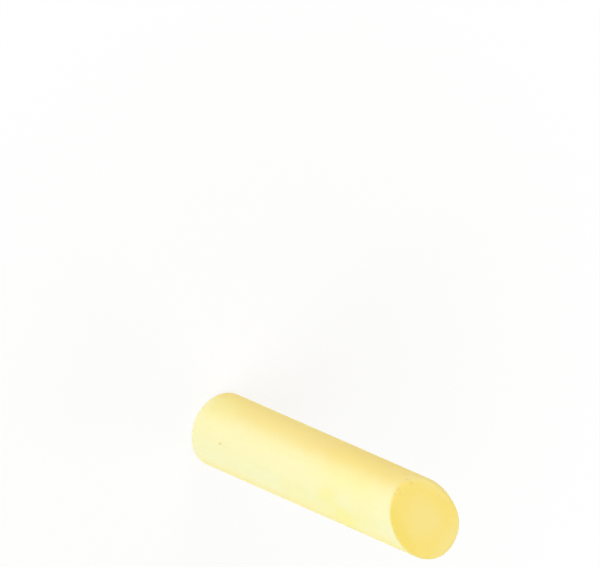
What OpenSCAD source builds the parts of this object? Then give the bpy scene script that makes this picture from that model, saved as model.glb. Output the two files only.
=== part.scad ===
// Chalk stick: one extruded bar of pressed chalk, cut square at the foot and at a slant at the tip.
// It stands on its square end. +Z runs up the bar and +X points to the long side of the slanted cut.
// All sizes are in millimetres and degrees.

/* [Bar] */
// Diameter of the bar
bar_d = 15.875; // [9.5:0.125:25.5]
// Height of the slanted cut on the bar's axis, above the square end
cut_z = 67.3; // [40:0.1:100]
// Radius of the softened edge round the square end
foot_edge_r = 0.7; // [0.2:0.1:1.5]

/* [Slanted cut] */
// How far the cut leans from square
cut_lean = 23.6; // [2:0.1:35]
// Radius of the rubbed edge round the cut
rim_edge_r = 0.4; // [0.2:0.1:1.5]

/* [Pinhole] */
// Width of the pinhole in the side
pit_w = 0.6; // [0.6:0.1:1.2]
// Depth of the pinhole
pit_depth = 0.22; // [0.1:0.02:0.28]
// Height of the pinhole above the square end
pit_z = 9.6; // [3:0.1:30]
// Direction of the pinhole round the bar, from +X
pit_turn = 243; // [0:1:359]

/* [Hidden] */
$fn = 128;

bar_r = bar_d / 2;
cut_slope = tan(cut_lean);
// The rubbed edge is an arc that stops at this angle to the wall, where the rubbing ran out
rim_meet = 20;
rim_centre_r = bar_r - rim_edge_r * cos(rim_meet);
// How far the blanks run past what they cut
spare = 2;
blank_h = cut_z + bar_r * cut_slope + spare;

// A half section whose top outer corner is an arc about a centre at radius centre_r
module round_shouldered(centre_r, height, corner_r) {
    square([centre_r, height]);
    square([centre_r + corner_r, height - corner_r]);
    translate([centre_r, height - corner_r]) circle(corner_r);
}

// The straight bar, over-long at the top, with its soft edge at the foot
module bar_blank() {
    translate([0, 0, blank_h]) mirror([0, 0, 1]) rotate_extrude()
        round_shouldered(bar_r - foot_edge_r, blank_h, foot_edge_r);
}

// Everything below the slanted cut and inside its rubbed rim. The shear leans the flat top and
// the rounded shoulder of a turned cap together, so that the shoulder follows the oval rim.
module slanted_cap() {
    lean = [[1, 0, 0, 0], [0, 1, 0, 0], [cut_slope, 0, 1, 0]];
    translate([0, 0, cut_z]) multmatrix(lean) translate([0, 0, -blank_h])
        rotate_extrude() round_shouldered(rim_centre_r, blank_h, rim_edge_r);
}

// A ball sunk in the wall, which leaves a dimple of the pinhole's width and depth
module pinhole() {
    ball_r = (pit_w * pit_w / 4 + pit_depth * pit_depth) / (2 * pit_depth);
    rotate([0, 0, pit_turn]) translate([bar_r - pit_depth + ball_r, 0, pit_z]) sphere(ball_r);
}

module chalk_stick() {
    color([0.98, 0.94, 0.68]) difference() {
        intersection() {
            bar_blank();
            slanted_cap();
        }
        pinhole();
    }
}

chalk_stick();
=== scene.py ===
import math

import bpy
from mathutils import Matrix, Vector


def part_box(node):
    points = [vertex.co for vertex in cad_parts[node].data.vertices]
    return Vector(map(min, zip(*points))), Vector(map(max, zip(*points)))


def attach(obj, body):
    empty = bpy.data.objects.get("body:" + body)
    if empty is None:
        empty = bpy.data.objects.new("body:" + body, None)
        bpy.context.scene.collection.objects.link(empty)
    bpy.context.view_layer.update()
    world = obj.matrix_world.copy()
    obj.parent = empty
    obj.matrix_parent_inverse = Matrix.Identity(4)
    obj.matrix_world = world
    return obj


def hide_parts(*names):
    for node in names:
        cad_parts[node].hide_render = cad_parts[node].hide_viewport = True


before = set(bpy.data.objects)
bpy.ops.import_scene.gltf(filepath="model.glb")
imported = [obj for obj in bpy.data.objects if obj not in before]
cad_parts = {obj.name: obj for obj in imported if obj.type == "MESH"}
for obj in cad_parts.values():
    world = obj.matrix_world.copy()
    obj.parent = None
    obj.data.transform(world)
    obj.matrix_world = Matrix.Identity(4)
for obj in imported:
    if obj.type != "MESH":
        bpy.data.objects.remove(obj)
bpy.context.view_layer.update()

# ---------------------------------------------------------------- sizes and shape

MM = 0.001

BAR_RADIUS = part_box("chalk_stick")[1].x
CUT_LEAN = math.radians(23.6)
CUT_HEIGHT = 67.3 * MM

# What the rule for the stick's shape takes, by the names of its inputs
STICK = {
    "Radius": BAR_RADIUS,
    "Cut height": CUT_HEIGHT,
    "Cut slope": math.tan(CUT_LEAN),
    "Foot edge": 0.7 * MM,
    "Rim edge": 0.4 * MM,
    "Heel wear": 0.9 * MM,
    "Heel turn": math.radians(146),
    "Pinhole height": 9.6 * MM,
    "Pinhole turn": math.radians(243),
    "Pinhole radius": 0.38 * MM,
    "Pinhole depth": 0.25 * MM,
    "Unevenness": 0.05 * MM,
    "Crumbling": 0.2 * MM,
    "Nick depth": 0.1 * MM,
    "Seed": 7.0,
    "Columns": 320,
    "Rows": 230,
    "Rings": 26,
}

# Turns round the bar are in degrees, from +X, where the long side of the cut is, towards +Y

# Where the cut's rim and the square end's edge are less or more rounded than elsewhere: turn, reach to
# either side in degrees, change of the rounding's radius
RIM_WEAR = [(62, 26, -0.2 * MM), (20, 26, 0.15 * MM)]
FOOT_WEAR = [(226, 30, -0.15 * MM), (272, 24, -0.3 * MM)]

# Small nicks at the heel of the cut: turn, how far in from the wall, how far below the plane of the cut,
# radius
NICKS = [
    (170, 0.8 * MM, 0.1 * MM, 0.6 * MM),
    (195, 0.25 * MM, 0.25 * MM, 0.55 * MM),
    (205, 0.25 * MM, 0.1 * MM, 0.5 * MM),
    (198, 1.0 * MM, 0, 0.42 * MM),
]

# Unevenness of the surface: length of the waves, detail, share of the whole, how far they are drawn out
# along the bar
WAVES = [
    (15 * MM, 1, 0.75, 1),
    (3.2 * MM, 2, 0.15, 1),
    (1.3 * MM, 1, 0.1, 30),
]
CRUMB_SIZE = 1.1 * MM

# ---------------------------------------------------------------- colours and patterns of the chalk

SKIN = (0.951, 0.838, 0.372, 1)
# The pale colour of dust, used for real dust and also painted on the lit side, on lit edges and on lit spots
# as painted light
DUST_AND_PAINTED_LIGHT = (0.935, 0.905, 0.565, 1)
# A bare lemon colour where dust was rubbed off, also painted light by the square end
BARE_AND_LIT = (0.950, 0.878, 0.300, 1)
# A deeper yellow for handled places, also a painted shadow of a neighbouring stick
FINGERED_AND_SHADOWED = (0.948, 0.800, 0.335, 1)
DEEP = (0.950, 0.820, 0.310, 1)
SHADE = (0.850, 0.720, 0.280, 1)
CUT = (0.980, 0.825, 0.245, 1)
# The cut face's dust colour, for its dusty middle and the square end, and also its painted highlight by the
# rim
CUT_DUST_AND_HIGHLIGHT = (0.980, 0.850, 0.330, 1)
# A deeper yellow, painted shade along one side of the cut face
CUT_PAINTED_SHADE = (0.965, 0.810, 0.180, 1)
# The colour of painted shade in the pores, the pinhole and the nicks
PAINTED_HOLLOW_SHADE = (0.70, 0.54, 0.22, 1)

# Noises: length of the waves, seed, detail, roughness, how far they are drawn out along X, Y and Z
PATTERNS = {
    "clouds": (7 * MM, 3.0, 3, 0.5, (1, 1, 1)),
    "mottling": (4.5 * MM, 21.0, 3, 0.6, (1, 1, 1.8)),
    "flecks": (0.9 * MM, 5.0, 3, 0.5, (1, 1, 1)),
    "streaks": (0.8 * MM, 9.0, 2, 0.5, (1, 1, 25)),
    "scratches": (0.18 * MM, 13.0, 2, 0.5, (14, 1, 1)),
    "grain": (0.16 * MM, 11.0, 3, 0.65, (1, 1, 1)),
}
PORE_SPACING = 0.65 * MM
PORE_SHIFT = 3 * MM
LARGEST_PORE = 0.27

# How a layer of colour follows its pattern: where it begins, where it is full, how much of it lies at these
COVER = {
    "end face": (0.55, 0.95, 0.0, 1.0),
    "painted lit side": (0.5, 0.95, 0.0, 1.0),
    "far side": (0.0, -0.4, 0.0, 1.0),
    "faint clouds": (0.45, 0.7, 0.0, 0.4),
    "deep streaks": (0.5, 0.8, 0.0, 0.15),
    "dusty middle": (0.75, 0.1, 0.0, 1.0),
    "painted shade crescent": (0.5, 0.85, 0.0, 0.7),
    "mottled end": (0.35, 0.65, 0.0, 0.9),
    "clouded end": (0.42, 0.65, 0.0, 0.5),
    "painted lit foot edge": (0.2, 0.65, 0.1, 0.9),
    "shaded grain": (0.35, 0.65, 0.25, 0.0),
}
# How much painted shade darkens the pores and the hollows
PAINTED_SHADE_SHARE_IN_PORES = 0.25
PAINTED_SHADE_SHARE_IN_HOLLOWS = 0.3

# How the fine relief is made up, in shares of its height: pores are sunk, the others stand up
RELIEF = {"grain": 0.22, "flecks": 0.08, "streaks": 0.05, "scratches": 0.12, "pores": -0.35}
RELIEF_HEIGHT = 0.1 * MM

# The lit side, towards the key lamp: the wall is painted paler there, a painted highlight
LIT_SIDE_TURN = 243

# The sides of the cut's rim that are painted paler as a painted highlight on the rounded rim: turn, how much
# of it there is
RIM_HIGHLIGHT = [
    (285, 0.5),
    (138, 0.3),
]

# The side of the cut face where it is painted deeper yellow, a painted shade along its rim
CRESCENT_TURN = 268

# Where the cut face is painted paler by its rim, a painted highlight: turn, where it begins and where it is
# full, as shares of the bar's radius, how much of it there is
CUT_RIM_HIGHLIGHT = [
    (22, 0.5, 0.85, 1.0),
    (128, 0.6, 0.88, 0.8),
]

# Where the dust was rubbed off again, and by the square end at turn 188 painted light: turn, height, spread,
# how much of it is gone
RUBBED_AND_LIT_SPOTS = [
    (206, 50 * MM, 10 * MM, 0.3),
    (278, 51 * MM, 4.4 * MM, 0.75),
    (253, 45 * MM, 3 * MM, 0.45),
    (266, 57 * MM, 4 * MM, 0.25),
    (280, 42 * MM, 3.5 * MM, 0.3),
    (266, 34 * MM, 4.5 * MM, 0.2),
    # Painted light: with the spot at turn 194 below, the upper side by the square end painted paler
    (188, 5 * MM, 5 * MM, 0.5),
]

# Where dust stayed, and by the square end at turn 194 painted light: the same four values
DUSTED_AND_LIT_SPOTS = [
    (243, 51 * MM, 3 * MM, 0.6),
    (232, 31 * MM, 3.5 * MM, 0.3),
    # Painted light, with the spot at turn 188 above
    (194, 5 * MM, 5 * MM, 0.45),
    (48, 22 * MM, 5 * MM, 0.35),
    (105, 54 * MM, 4 * MM, 0.3),
    (340, 12 * MM, 5 * MM, 0.3),
]

# Where fingers held it, and at turns 164 and 190 a painted shadow of a neighbouring stick that is left out:
# the same four values
HANDLED_AND_SHADOWED = [
    # Painted shadow of a neighbouring stick, at this turn and the next
    (164, 48 * MM, 14 * MM, 0.8),
    (190, 50 * MM, 10 * MM, 0.8),
    (12, 38 * MM, 7 * MM, 0.7),
    (92, 26 * MM, 6 * MM, 0.5),
]

# ---------------------------------------------------------------- view and light

# How big the stick is in the image and how it lies there
IMAGE_WIDTH = 600
IMAGE_HEIGHT = 567
PIXELS_PER_MM = 4.880
CUT_CENTRE_PIXEL = (424.79, 518.71)
VIEW_FROM_AXIS = math.radians(42.84)
VIEW_TURN = math.radians(222.08)
TIP_DROP = math.radians(23.35)
CAMERA_DISTANCE = 5.0
SENSOR_WIDTH = 36.0

# Soft lamps: turn round the stick, height above the floor, both in degrees; light given; colour
LAMP_DISTANCE = 1.5
LAMP_WIDTH = 1.1
LAMPS = [
    ("key", 257, 42, 13.9, (0.74, 0.815, 1.0)),
    ("fill", 162, 18, 7.3, (1.0, 0.83, 0.58)),
    ("back", 40, 12, 10.6, (1.0, 0.94, 0.88)),
]
WORLD_LIGHT = ((1.0, 0.985, 0.84), 0.465)

# How far the floor goes to each side
FLOOR_REACH = 2.0


# ---------------------------------------------------------------- node helpers

def add_node(tree, kind, inputs=None, **settings):
    """Adds a node, sets its options, then sets or links its inputs by name or number."""
    made = tree.nodes.new(kind)
    for name, value in settings.items():
        setattr(made, name, value)
    for key, value in (inputs or {}).items():
        put(tree, made, key, value)
    return made


def put(tree, node, key, value):
    """Sets one input of a node to a value, or links it where the value is another node's output."""
    if isinstance(value, bpy.types.NodeSocket):
        tree.links.new(value, node.inputs[key])
    else:
        node.inputs[key].default_value = value


def calc(tree, operation, *terms, clamp=False):
    """One Math node; gives its result."""
    made = add_node(tree, "ShaderNodeMath", dict(enumerate(terms)), operation=operation)
    made.use_clamp = clamp
    return made.outputs[0]


def total(tree, *terms):
    """The sum of several values."""
    result = terms[0]
    for term in terms[1:]:
        result = calc(tree, "ADD", result, term)
    return result


def product(tree, *terms):
    """The product of several values."""
    result = terms[0]
    for term in terms[1:]:
        result = calc(tree, "MULTIPLY", result, term)
    return result


def vector_calc(tree, operation, *terms):
    """One Vector Math node that gives a vector."""
    made = add_node(tree, "ShaderNodeVectorMath", dict(enumerate(terms)), operation=operation)
    return made.outputs["Vector"]


def vector_value(tree, operation, *terms):
    """One Vector Math node that gives a number."""
    made = add_node(tree, "ShaderNodeVectorMath", dict(enumerate(terms)), operation=operation)
    return made.outputs["Value"]


def scaled(tree, vector, factor):
    """A vector times a number."""
    made = add_node(tree, "ShaderNodeVectorMath", {0: vector, "Scale": factor}, operation="SCALE")
    return made.outputs["Vector"]


def part_of(tree, vector, axis):
    """One of a vector's three parts: X, Y or Z."""
    return add_node(tree, "ShaderNodeSeparateXYZ", {0: vector}).outputs[axis]


def vector_of(tree, **parts):
    """A vector made of its parts X, Y and Z, each 0 where it isn't given."""
    return add_node(tree, "ShaderNodeCombineXYZ", parts).outputs[0]


def ramp(tree, value, low, high, out_low=0.0, out_high=1.0):
    """Takes a value smoothly from the range low..high to out_low..out_high."""
    made = add_node(tree, "ShaderNodeMapRange", {"Value": value}, interpolation_type="SMOOTHSTEP")
    for name, amount in (("From Min", low), ("From Max", high), ("To Min", out_low), ("To Max", out_high)):
        put(tree, made, name, amount)
    return made.outputs["Result"]


def roughened(tree, value, pattern, share):
    """A value made uneven by a share of a pattern, up and down alike."""
    return total(tree, value, product(tree, pattern, share), -share / 2)


def noise(tree, place, wave, seed, detail, roughness=0.5, stretch=(1, 1, 1)):
    """Noise of about 0..1, with the length of its waves in metres. stretch draws them out along an axis."""
    if stretch != (1, 1, 1):
        place = vector_calc(tree, "DIVIDE", place, stretch)
    made = add_node(tree, "ShaderNodeTexNoise",
                    {"Vector": place, "Scale": 1 / wave, "Detail": detail, "Roughness": roughness},
                    noise_dimensions="4D")
    put(tree, made, "W", seed)
    return made.outputs[0]


def new_group(name, tree_kind, inputs, outputs):
    """A node group with named inputs and outputs. Gives the tree, its input node and its output node."""
    tree = bpy.data.node_groups.new(name, tree_kind)
    for label, kind in inputs:
        tree.interface.new_socket(name=label, in_out="INPUT", socket_type=kind)
    for label, kind in outputs:
        tree.interface.new_socket(name=label, in_out="OUTPUT", socket_type=kind)
    return tree, tree.nodes.new("NodeGroupInput").outputs, tree.nodes.new("NodeGroupOutput").inputs


# ---------------------------------------------------------------- the stick's shape

def place_points(tree, geometry, position, chosen=None):
    """Moves the points of the geometry, or the chosen ones, to a computed position."""
    made = add_node(tree, "GeometryNodeSetPosition", {"Geometry": geometry, "Position": position})
    if chosen is not None:
        put(tree, made, "Selection", chosen)
    return made.outputs["Geometry"]


def press_in(tree, geometry, depth):
    """Moves the surface inwards by a depth."""
    normal = tree.nodes.new("GeometryNodeInputNormal").outputs[0]
    step = scaled(tree, normal, calc(tree, "MULTIPLY", depth, -1.0))
    made = add_node(tree, "GeometryNodeSetPosition", {"Geometry": geometry, "Offset": step})
    return made.outputs["Geometry"]


def keep_value(tree, geometry, name, value):
    """Stores a value on the points under a name, for the material to read."""
    made = add_node(tree, "GeometryNodeStoreNamedAttribute",
                    {"Geometry": geometry, "Name": name, "Value": value}, data_type="FLOAT", domain="POINT")
    return made.outputs["Geometry"]


def own_place(tree):
    """Where each point is."""
    return tree.nodes.new("GeometryNodeInputPosition").outputs[0]


def flat_place(tree):
    """Where each point is, with its height left out."""
    here = own_place(tree)
    return vector_of(tree, X=part_of(tree, here, "X"), Y=part_of(tree, here, "Y"))


def outward(tree):
    """The direction to each point from the axis."""
    return vector_calc(tree, "NORMALIZE", flat_place(tree))


def round_place(tree):
    """Each point's distance from the axis, its height, and the direction to it from the axis."""
    reach = vector_value(tree, "LENGTH", flat_place(tree))
    return reach, part_of(tree, own_place(tree), "Z"), outward(tree)


def place_of(tree, direction, reach, height):
    """The place at a distance from the axis and a height, in a direction from the axis."""
    return vector_calc(tree, "ADD", scaled(tree, direction, reach), vector_of(tree, Z=height))


def way_at(turn):
    """X and Y of the direction away from the axis at a turn round the bar, in degrees."""
    turn = math.radians(turn)
    return math.cos(turn), math.sin(turn)


def direction_at(tree, turn):
    """The same as a vector, for a turn that is an input of the rule, in radians."""
    return vector_of(tree, X=calc(tree, "COSINE", turn), Y=calc(tree, "SINE", turn))


def near_turn(tree, direction, turn, reach, full, least=0.0):
    """1 close to a turn round the bar, and least beyond reach. Both full and reach are in degrees."""
    squarely = vector_value(tree, "DOT_PRODUCT", direction, direction_at(tree, turn))
    return ramp(tree, squarely, math.cos(math.radians(reach)), math.cos(math.radians(full)), least, 1.0)


def facing(tree, direction):
    """How squarely the surface faces a direction, 0 to 1."""
    normal = tree.nodes.new("GeometryNodeInputNormal").outputs[0]
    return calc(tree, "MAXIMUM", vector_value(tree, "DOT_PRODUCT", normal, direction), 0.0)


def blank_bar(tree, size):
    """A straight round bar on the floor, in even columns, rows and rings."""
    bar = add_node(tree, "GeometryNodeMeshCylinder", {
        "Vertices": size["Columns"], "Side Segments": size["Rows"], "Fill Segments": size["Rings"],
        "Radius": size["Radius"], "Depth": size["Cut height"]}, fill_type="TRIANGLE_FAN")
    lift = vector_of(tree, Z=calc(tree, "MULTIPLY", size["Cut height"], 0.5))
    return add_node(tree, "GeometryNodeTransform",
                    {"Geometry": bar.outputs["Mesh"], "Translation": lift}).outputs["Geometry"]


def crowd_to_edges(tree, geometry, size):
    """Draws the rows towards the two ends and the rings towards the two edges, where the fine forms are."""
    row_crowding = 0.8
    ring_crowding = 0.75
    reach, height, direction = round_place(tree)
    share = calc(tree, "DIVIDE", height, size["Cut height"])
    wave = calc(tree, "SINE", calc(tree, "MULTIPLY", share, 2 * math.pi))
    share = calc(tree, "SUBTRACT", share, calc(tree, "MULTIPLY", wave, row_crowding / (2 * math.pi)))
    out = calc(tree, "DIVIDE", reach, size["Radius"])
    bulge = calc(tree, "SINE", calc(tree, "MULTIPLY", out, math.pi))
    out = calc(tree, "ADD", out, calc(tree, "MULTIPLY", bulge, ring_crowding / math.pi))
    moved = place_of(tree, direction, calc(tree, "MULTIPLY", out, size["Radius"]),
                     calc(tree, "MULTIPLY", share, size["Cut height"]))
    return place_points(tree, geometry, moved)


def crowd_to_pinhole(tree, geometry, size):
    """Draws the wall's points towards the pinhole, so that it is round although it is small."""
    even_reach = 1.6 * MM
    spread = 7 * MM
    closer_across = 0.3
    closer_along = 0.18
    in_front_share = 0.5
    wall_share = 0.999
    reach, height, direction = round_place(tree)
    middle = direction_at(tree, size["Pinhole turn"])
    beside = direction_at(tree, calc(tree, "ADD", size["Pinhole turn"], math.pi / 2))
    squarely = vector_value(tree, "DOT_PRODUCT", direction, middle)
    in_front = calc(tree, "GREATER_THAN", squarely, in_front_share)
    on_wall = calc(tree, "GREATER_THAN", reach, calc(tree, "MULTIPLY", size["Radius"], wall_share))
    turn = calc(tree, "ARCSINE", vector_value(tree, "DOT_PRODUCT", direction, beside))
    across = calc(tree, "MULTIPLY", turn, size["Radius"])
    along = calc(tree, "SUBTRACT", height, size["Pinhole height"])
    away = calc(tree, "SQRT", total(tree, product(tree, across, across), product(tree, along, along)))
    new_turn = calc(tree, "MULTIPLY", turn, ramp(tree, away, even_reach, spread, closer_across, 1.0))
    new_along = calc(tree, "MULTIPLY", along, ramp(tree, away, even_reach, spread, closer_along, 1.0))
    new_direction = vector_calc(tree, "ADD", scaled(tree, middle, calc(tree, "COSINE", new_turn)),
                                scaled(tree, beside, calc(tree, "SINE", new_turn)))
    new_height = calc(tree, "ADD", size["Pinhole height"], new_along)
    moved = place_of(tree, new_direction, size["Radius"], new_height)
    return place_points(tree, geometry, moved, product(tree, in_front, on_wall))


def round_edge(tree, geometry, radius, edge_height, edge, side):
    """Rounds one edge of the bar: side is 1 for the top edge and -1 for the bottom edge."""
    reach, height, direction = round_place(tree)
    centre_reach = calc(tree, "SUBTRACT", radius, edge)
    centre_height = calc(tree, "SUBTRACT", edge_height, calc(tree, "MULTIPLY", edge, side))
    past = calc(tree, "SUBTRACT", reach, centre_reach)
    above = calc(tree, "MULTIPLY", calc(tree, "SUBTRACT", height, centre_height), side)
    in_corner = product(tree, calc(tree, "GREATER_THAN", past, 0.0), calc(tree, "GREATER_THAN", above, 0.0))
    from_centre = calc(tree, "SQRT", total(tree, product(tree, past, past), product(tree, above, above)))
    pull = calc(tree, "DIVIDE", edge, calc(tree, "MAXIMUM", from_centre, 1e-9))
    new_reach = calc(tree, "ADD", centre_reach, product(tree, past, pull))
    new_height = calc(tree, "ADD", centre_height, product(tree, above, pull, side))
    return place_points(tree, geometry, place_of(tree, direction, new_reach, new_height), in_corner)


def uneven_edge(tree, direction, radius, places):
    """The radius of an edge's rounding, changed at some turns round the bar."""
    for turn, reach, change in places:
        squarely = vector_value(tree, "DOT_PRODUCT", direction, (*way_at(turn), 0))
        more = ramp(tree, squarely, math.cos(math.radians(reach)), 1.0, 0.0, change)
        radius = calc(tree, "ADD", radius, more)
    return radius


def round_both_edges(tree, geometry, size):
    """Rounds the two edges. The cut's short side, its heel, is rubbed rounder than the rest of its rim."""
    heel_reach = 85
    heel_full = 18
    direction = outward(tree)
    heel = near_turn(tree, direction, size["Heel turn"], heel_reach, heel_full)
    rim_edge = calc(tree, "ADD", size["Rim edge"], product(tree, heel, size["Heel wear"]))
    rim_edge = uneven_edge(tree, direction, rim_edge, RIM_WEAR)
    foot_edge = uneven_edge(tree, direction, size["Foot edge"], FOOT_WEAR)
    geometry = round_edge(tree, geometry, size["Radius"], 0.0, foot_edge, -1)
    return round_edge(tree, geometry, size["Radius"], size["Cut height"], rim_edge, 1)


def lean_top(tree, geometry, size):
    """Leans the bar's rows more and more towards its top, until they lie along the slanted cut."""
    straight_end = 3 * MM
    here = own_place(tree)
    full_height = calc(tree, "SUBTRACT", size["Cut height"], straight_end)
    share = calc(tree, "DIVIDE", part_of(tree, here, "Z"), full_height, clamp=True)
    lift = product(tree, part_of(tree, here, "X"), size["Cut slope"], share)
    return place_points(tree, geometry, vector_calc(tree, "ADD", here, vector_of(tree, Z=lift)))


def near_ends(tree, size):
    """1 within reach of the two softened edges, and 0 further along the wall."""
    begins = 2.8 * MM
    full = 1.6 * MM
    here = own_place(tree)
    height = part_of(tree, here, "Z")
    cut_height = total(tree, size["Cut height"], product(tree, part_of(tree, here, "X"), size["Cut slope"]))
    below_cut = calc(tree, "SUBTRACT", cut_height, height)
    return ramp(tree, calc(tree, "MINIMUM", below_cut, height), begins, full)


def edge_mask(tree, size, cut, foot):
    """1 on the rounded edges, 0 on the wall and on the two end faces."""
    edge_begins = (0.12, 0.5)
    face_begins = (0.9, 0.995)
    ends = total(tree, ramp(tree, cut, *edge_begins), ramp(tree, foot, *edge_begins))
    faces = ramp(tree, calc(tree, "MAXIMUM", cut, foot), *face_begins)
    return product(tree, calc(tree, "SUBTRACT", ends, faces, clamp=True), near_ends(tree, size))


def crumb_mask(tree, size, edges):
    """1 where crumbs broke out of the edges, most of them at the heel."""
    broken = (0.5, 0.72)
    heel_reach = 70
    heel_full = 20
    elsewhere = 0.25
    crumbs = noise(tree, own_place(tree), CRUMB_SIZE, size["Seed"], detail=3, roughness=0.6)
    heel = near_turn(tree, outward(tree), size["Heel turn"], heel_reach, heel_full, elsewhere)
    return product(tree, ramp(tree, crumbs, *broken), edges, heel)


def nick_mask(tree, size):
    """1 in the nicks at the heel of the cut and 0 elsewhere, with ragged borders."""
    raggedness = 0.7
    ragged_wave = 0.5 * MM
    border_to_deepest = (1.0, 0.3)
    here = own_place(tree)
    ragged = noise(tree, here, ragged_wave, size["Seed"], detail=1)
    deepest = None
    for turn, inward, below, radius in NICKS:
        way_x, way_y = way_at(turn)
        x = (BAR_RADIUS - inward) * way_x
        y = (BAR_RADIUS - inward) * way_y
        centre = (x, y, CUT_HEIGHT + x * math.tan(CUT_LEAN) - below)
        away = calc(tree, "DIVIDE", vector_value(tree, "DISTANCE", here, centre), radius)
        nick = ramp(tree, roughened(tree, away, ragged, raggedness), *border_to_deepest)
        deepest = nick if deepest is None else calc(tree, "MAXIMUM", deepest, nick)
    return deepest


def pinhole_mask(tree, size):
    """1 in the pinhole, falling to 0 at its border."""
    border_to_deepest = (1.0, 0.35)
    centre = place_of(tree, direction_at(tree, size["Pinhole turn"]), size["Radius"], size["Pinhole height"])
    away = vector_value(tree, "DISTANCE", own_place(tree), centre)
    return ramp(tree, calc(tree, "DIVIDE", away, size["Pinhole radius"]), *border_to_deepest)


def wear(tree, geometry, size):
    """Marks the cut, the square end, the edges and the hollows, the last for their painted shade, and wears
    the surface, always inwards.
    """
    nick_painted_shade = 0.6
    cut_way = vector_of(tree, X=calc(tree, "MULTIPLY", size["Cut slope"], -1.0), Z=1.0)
    cut = facing(tree, vector_calc(tree, "NORMALIZE", cut_way))
    foot = facing(tree, (0, 0, -1))
    edges = edge_mask(tree, size, cut, foot)
    pinhole = pinhole_mask(tree, size)
    nicks = nick_mask(tree, size)
    # Painted shade: how much the pinhole and the nicks are darkened
    painted_shade_in_hollows = total(tree, pinhole, product(tree, nicks, nick_painted_shade))
    for name, value in (("cut", cut), ("foot", foot), ("hollow_shade", painted_shade_in_hollows), ("edge", edges)):
        geometry = keep_value(tree, geometry, name, value)

    here = own_place(tree)
    waves = [product(tree, noise(tree, here, wave, size["Seed"], detail, stretch=(1, 1, along)), share)
             for wave, detail, share, along in WAVES]
    depth = total(tree, product(tree, total(tree, *waves), size["Unevenness"]),
                  product(tree, crumb_mask(tree, size, edges), size["Crumbling"]),
                  product(tree, pinhole, size["Pinhole depth"]), product(tree, nicks, size["Nick depth"]))
    return press_in(tree, geometry, depth)


def stick_tree():
    """The whole stick as one rule: a bar, its edges rounded, its top leaned, then its wear."""
    whole_numbers = ("Columns", "Rows", "Rings")
    sockets = [(name, "NodeSocketInt" if name in whole_numbers else "NodeSocketFloat") for name in STICK]
    sockets.append(("Chalk", "NodeSocketMaterial"))
    tree, size, result = new_group("Chalk stick", "GeometryNodeTree", sockets,
                                   [("Geometry", "NodeSocketGeometry")])
    shape = blank_bar(tree, size)
    for step in (crowd_to_edges, round_both_edges, lean_top, crowd_to_pinhole, wear):
        shape = step(tree, shape, size)
    smooth = add_node(tree, "GeometryNodeSetShadeSmooth", {"Geometry": shape}).outputs["Geometry"]
    real = add_node(tree, "GeometryNodeRealizeInstances", {"Geometry": smooth}).outputs["Geometry"]
    dressed = add_node(tree, "GeometryNodeSetMaterial", {"Geometry": real, "Material": size["Chalk"]})
    tree.links.new(dressed.outputs["Geometry"], result["Geometry"])
    return tree


def make_stick(material):
    """Grows the stick from its rule and keeps the result as a plain mesh."""
    stick = bpy.data.objects.new("chalk_bar", bpy.data.meshes.new("chalk_bar"))
    bpy.context.scene.collection.objects.link(stick)
    rule = stick.modifiers.new("Chalk stick", "NODES")
    rule.node_group = stick_tree()
    values = dict(STICK, Chalk=material)
    for socket in rule.node_group.interface.items_tree:
        if socket.in_out == "INPUT":
            rule[socket.identifier] = values[socket.name]
    bpy.context.view_layer.update()
    grown = stick.evaluated_get(bpy.context.evaluated_depsgraph_get())
    plain = bpy.data.meshes.new_from_object(grown)
    stick.modifiers.remove(rule)
    stick.data = plain
    return stick


# ---------------------------------------------------------------- materials

def mixed(tree, share, first, second):
    """A colour between two colours, which are this node's inputs 6 and 7 and its output 2."""
    made = add_node(tree, "ShaderNodeMix", {0: share, 6: first, 7: second}, data_type="RGBA")
    return made.outputs[2]


def cover(tree, value, layer):
    """How much of a layer of colour there is, by the value that it follows."""
    return ramp(tree, value, *COVER[layer])


def stored(tree, name):
    """A value that the mesh carries."""
    return add_node(tree, "ShaderNodeAttribute", attribute_name=name).outputs["Fac"]


def pores(tree, place):
    """Tiny open pores of mixed sizes: 1 in a pore and 0 between them."""
    border_to_deepest = (1.0, 0.3)
    shifted = vector_calc(tree, "ADD", place, (PORE_SHIFT, PORE_SHIFT, 0))
    cells = add_node(tree, "ShaderNodeTexVoronoi", {"Vector": shifted, "Scale": 1 / PORE_SPACING},
                     feature="F1").outputs
    size = add_node(tree, "ShaderNodeSeparateColor", {0: cells["Color"]}).outputs[0]
    radius = product(tree, size, size, LARGEST_PORE)
    return ramp(tree, calc(tree, "DIVIDE", cells["Distance"], radius), *border_to_deepest)


def towards(tree, place, turn):
    """How far a place lies towards a turn round the bar: 1 at the wall, 0 on the axis."""
    x, y = way_at(turn)
    return vector_value(tree, "DOT_PRODUCT", place, (x / BAR_RADIUS, y / BAR_RADIUS, 0))


def speckled_towards(tree, place, turn, pattern):
    """The same, speckled."""
    speckling = 0.2
    return roughened(tree, towards(tree, place, turn), pattern["flecks"], speckling)


def patch(tree, place, ragged, turn, height, spread, strength):
    """A soft patch with a ragged border on the wall, longer than wide."""
    longer = 1.6
    full_within = 0.2
    x, y = way_at(turn)
    centre = (BAR_RADIUS * x, BAR_RADIUS * y, height)
    from_centre = vector_calc(tree, "SUBTRACT", place, centre)
    from_centre = vector_calc(tree, "DIVIDE", from_centre, (spread, spread, spread * longer))
    away = total(tree, vector_value(tree, "LENGTH", from_centre), ragged)
    return ramp(tree, away, 1.0, full_within, 0.0, strength)


def patched(tree, place, ragged, spots, colour, added):
    """A colour with soft patches of another."""
    for spot in spots:
        colour = mixed(tree, patch(tree, place, ragged, *spot), colour, added)
    return colour


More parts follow.
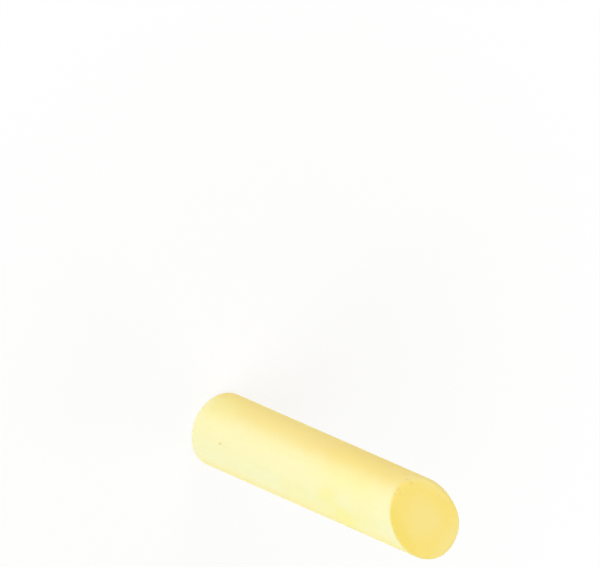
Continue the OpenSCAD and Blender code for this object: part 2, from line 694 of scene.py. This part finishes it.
def wall_colour(tree, place, pattern):
    """The wall: handled in places, two of them painted shadow, then painted paler on the lit side as painted
    light, rubbed off again in places.
    """
    coarse = 0.6
    fine = 0.3
    border_raggedness = 0.3
    ragged = total(tree, product(tree, pattern["clouds"], coarse), product(tree, pattern["flecks"], fine),
                   -(coarse + fine) / 2)
    # Handled places, two of them painted shadow of a neighbouring stick
    wall = patched(tree, place, ragged, HANDLED_AND_SHADOWED, SKIN, FINGERED_AND_SHADOWED)
    towards_lit_side = towards(tree, place, LIT_SIDE_TURN)
    # Painted light: the wall is painted paler towards the lit side
    dusty = roughened(tree, towards_lit_side, pattern["clouds"], border_raggedness)
    wall = mixed(tree, cover(tree, dusty, "painted lit side"), wall, DUST_AND_PAINTED_LIGHT)
    wall = patched(tree, place, ragged, RUBBED_AND_LIT_SPOTS, wall, BARE_AND_LIT)
    wall = patched(tree, place, ragged, DUSTED_AND_LIT_SPOTS, wall, DUST_AND_PAINTED_LIGHT)
    far_side = cover(tree, towards_lit_side, "far side")
    faint_clouds = cover(tree, pattern["mottling"], "faint clouds")
    wall = mixed(tree, product(tree, far_side, faint_clouds), wall, DUST_AND_PAINTED_LIGHT)
    return mixed(tree, cover(tree, pattern["streaks"], "deep streaks"), wall, DEEP)


def cut_colour(tree, place, pattern):
    """The cut: dusty in the middle, painted deeper yellow along one side as painted shade, painted paler by
    its rim as a painted highlight.
    """
    border_raggedness = 0.5
    x_and_y = vector_calc(tree, "MULTIPLY", place, (1 / BAR_RADIUS, 1 / BAR_RADIUS, 0))
    out = roughened(tree, vector_value(tree, "LENGTH", x_and_y), pattern["clouds"], border_raggedness)
    face = mixed(tree, cover(tree, out, "dusty middle"), CUT, CUT_DUST_AND_HIGHLIGHT)
    # Painted shade: the cut face painted deeper yellow along one side by its rim
    crescent = speckled_towards(tree, place, CRESCENT_TURN, pattern)
    face = mixed(tree, cover(tree, crescent, "painted shade crescent"), face, CUT_PAINTED_SHADE)
    # Painted highlight: the cut face painted paler by its rim
    for turn, begins, full, most in CUT_RIM_HIGHLIGHT:
        by_rim = speckled_towards(tree, place, turn, pattern)
        face = mixed(tree, ramp(tree, by_rim, begins, full, 0.0, most), face, CUT_DUST_AND_HIGHLIGHT)
    return face


def square_end_colour(tree, pattern):
    """The square end: the same clean yellow under clouds of dust."""
    end = mixed(tree, cover(tree, pattern["mottling"], "mottled end"), CUT, CUT_DUST_AND_HIGHLIGHT)
    return mixed(tree, cover(tree, pattern["clouds"], "clouded end"), end, DUST_AND_PAINTED_LIGHT)


def painted_edge_highlight(tree, place):
    """How much paler the rounded edges are painted as a painted highlight: most on the square end's, on the
    lit side.
    """
    rim_begins = (0.7, 0.95)
    upper = calc(tree, "GREATER_THAN", part_of(tree, place, "Z"), CUT_HEIGHT / 2)
    lower = calc(tree, "SUBTRACT", 1.0, upper)
    on_rim = total(tree, *[ramp(tree, towards(tree, place, turn), *rim_begins, 0.0, most)
                           for turn, most in RIM_HIGHLIGHT])
    on_foot = cover(tree, towards(tree, place, LIT_SIDE_TURN), "painted lit foot edge")
    on_edges = total(tree, product(tree, upper, on_rim), product(tree, lower, on_foot))
    return product(tree, stored(tree, "edge"), on_edges)


def chalk_material():
    """Dry pressed chalk: a pale powdery skin, and a deeper yellow where it was cut."""
    flecks_to_roughness = (0.3, 0.7, 0.82, 0.96)
    gloss = 0.2
    powdery = 1.0
    made = bpy.data.materials.new("pressed_chalk")
    made.use_nodes = True
    tree = made.node_tree
    shader = tree.nodes["Principled BSDF"]
    place = tree.nodes.new("ShaderNodeTexCoord").outputs["Object"]
    pattern = {name: noise(tree, place, *values) for name, values in PATTERNS.items()}
    holes = pores(tree, place)
    cut = cover(tree, stored(tree, "cut"), "end face")
    foot = cover(tree, stored(tree, "foot"), "end face")

    colour = mixed(tree, foot, wall_colour(tree, place, pattern), square_end_colour(tree, pattern))
    colour = mixed(tree, cut, colour, cut_colour(tree, place, pattern))
    # Painted highlight: the rounded edges painted paler where light catches them
    colour = mixed(tree, painted_edge_highlight(tree, place), colour, DUST_AND_PAINTED_LIGHT)
    colour = mixed(tree, cover(tree, pattern["grain"], "shaded grain"), colour, SHADE)
    # Painted shade in the pores and the hollows
    colour = mixed(tree, product(tree, holes, PAINTED_SHADE_SHARE_IN_PORES), colour, PAINTED_HOLLOW_SHADE)
    colour = mixed(tree, product(tree, stored(tree, "hollow_shade"), PAINTED_SHADE_SHARE_IN_HOLLOWS), colour, PAINTED_HOLLOW_SHADE)
    tree.links.new(colour, shader.inputs["Base Color"])

    tree.links.new(ramp(tree, pattern["flecks"], *flecks_to_roughness), shader.inputs["Roughness"])
    shader.inputs["Specular IOR Level"].default_value = gloss
    shader.inputs["Diffuse Roughness"].default_value = powdery

    scratched = product(tree, pattern["scratches"], total(tree, cut, foot))
    relief = total(tree, product(tree, pattern["grain"], RELIEF["grain"]),
                   product(tree, pattern["flecks"], RELIEF["flecks"]),
                   product(tree, pattern["streaks"], RELIEF["streaks"]),
                   product(tree, scratched, RELIEF["scratches"]), product(tree, holes, RELIEF["pores"]))
    bump = add_node(tree, "ShaderNodeBump", {"Height": relief, "Strength": 1.0, "Distance": RELIEF_HEIGHT})
    tree.links.new(bump.outputs[0], shader.inputs["Normal"])
    return made


def seen_directly(tree):
    """1 for what the camera sees, directly, in gloss or through glass; 0 for other light."""
    path = tree.nodes.new("ShaderNodeLightPath").outputs
    return calc(tree, "MAXIMUM", calc(tree, "MAXIMUM", path["Is Camera Ray"], path["Is Glossy Ray"]),
                path["Is Transmission Ray"])


def floor_material():
    """White paper. It shows as plain white, but keeps part of the stick's shadow round the stick."""
    white_share = 0.8
    shade_reach = 20 * MM
    all_white = 130 * MM
    made = bpy.data.materials.new("studio_floor")
    made.use_nodes = True
    tree = made.node_tree
    tree.nodes.clear()
    paper = add_node(tree, "ShaderNodeBsdfDiffuse", {"Color": (0.99, 0.99, 0.99, 1)})
    white = add_node(tree, "ShaderNodeEmission", {"Color": (1, 1, 1, 1), "Strength": 1.0})
    place = tree.nodes.new("ShaderNodeTexCoord").outputs["Object"]
    from_stick = vector_value(tree, "LENGTH", place)
    whiter = ramp(tree, from_stick, shade_reach, all_white, white_share, 1.0)
    share = product(tree, seen_directly(tree), whiter)
    both = add_node(tree, "ShaderNodeMixShader", {0: share, 1: paper.outputs[0], 2: white.outputs[0]})
    add_node(tree, "ShaderNodeOutputMaterial", {"Surface": both.outputs[0]})
    return made


# ---------------------------------------------------------------- stage, light and camera

def make_floor():
    """A plain square floor under the stick."""
    sides = ((-1, -1), (1, -1), (1, 1), (-1, 1))
    corners = [(x * FLOOR_REACH, y * FLOOR_REACH, 0) for x, y in sides]
    mesh = bpy.data.meshes.new("floor")
    mesh.from_pydata(corners, [], [(0, 1, 2, 3)])
    mesh.materials.append(floor_material())
    floor = bpy.data.objects.new("floor", mesh)
    bpy.context.scene.collection.objects.link(floor)


def make_camera():
    """A long lens, above the floor and turned so that the stick's tip points down to the right."""
    back = Vector((math.sin(VIEW_FROM_AXIS) * math.cos(VIEW_TURN),
                   math.sin(VIEW_FROM_AXIS) * math.sin(VIEW_TURN), math.cos(VIEW_FROM_AXIS)))
    axis = Vector((0, 0, 1))
    along = (axis - back * axis.dot(back)).normalized()
    right = along * math.cos(TIP_DROP) + back.cross(along) * math.sin(TIP_DROP)
    up = back.cross(right)
    to_middle_right = (IMAGE_WIDTH / 2 - CUT_CENTRE_PIXEL[0]) / PIXELS_PER_MM * MM
    to_middle_up = (CUT_CENTRE_PIXEL[1] - IMAGE_HEIGHT / 2) / PIXELS_PER_MM * MM
    aim = Vector((0, 0, CUT_HEIGHT)) + right * to_middle_right + up * to_middle_up
    data = bpy.data.cameras.new("camera")
    data.sensor_fit = "HORIZONTAL"
    data.sensor_width = SENSOR_WIDTH
    data.lens = SENSOR_WIDTH * CAMERA_DISTANCE / (IMAGE_WIDTH / PIXELS_PER_MM * MM)
    camera = bpy.data.objects.new("camera", data)
    camera.matrix_world = (Matrix.Translation(aim + back * CAMERA_DISTANCE)
                           @ Matrix((right, up, back)).transposed().to_4x4())
    bpy.context.scene.collection.objects.link(camera)
    bpy.context.scene.camera = camera


def make_lamp(name, turn, rise, watts, colour):
    """A soft square lamp that looks at the middle of the stick."""
    turn = math.radians(turn)
    rise = math.radians(rise)
    way = Vector((math.cos(rise) * math.cos(turn), math.cos(rise) * math.sin(turn), math.sin(rise)))
    data = bpy.data.lights.new(name, "AREA")
    data.shape = "SQUARE"
    data.size = LAMP_WIDTH
    data.energy = watts
    data.color = colour
    lamp = bpy.data.objects.new(name, data)
    lamp.location = Vector((0, 0, CUT_HEIGHT / 2)) + way * LAMP_DISTANCE
    lamp.rotation_euler = way.to_track_quat("Z", "Y").to_euler()
    bpy.context.scene.collection.objects.link(lamp)


def make_world(colour, strength):
    """Even light from all round, seen as plain white."""
    world = bpy.data.worlds.new("studio")
    bpy.context.scene.world = world
    world.use_nodes = True
    tree = world.node_tree
    tree.nodes.clear()
    light = add_node(tree, "ShaderNodeBackground", {"Color": colour + (1,), "Strength": strength})
    white = add_node(tree, "ShaderNodeBackground", {"Color": (1, 1, 1, 1), "Strength": 1.0})
    both = add_node(tree, "ShaderNodeMixShader",
                    {0: seen_directly(tree), 1: light.outputs[0], 2: white.outputs[0]})
    add_node(tree, "ShaderNodeOutputWorld", {"Surface": both.outputs[0]})


# ---------------------------------------------------------------- the scene

stick = make_stick(chalk_material())
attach(stick, "root")
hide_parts("chalk_stick")

make_floor()
make_camera()
for lamp in LAMPS:
    make_lamp(*lamp)
make_world(*WORLD_LIGHT)
bpy.context.scene.view_settings.view_transform = "Standard"
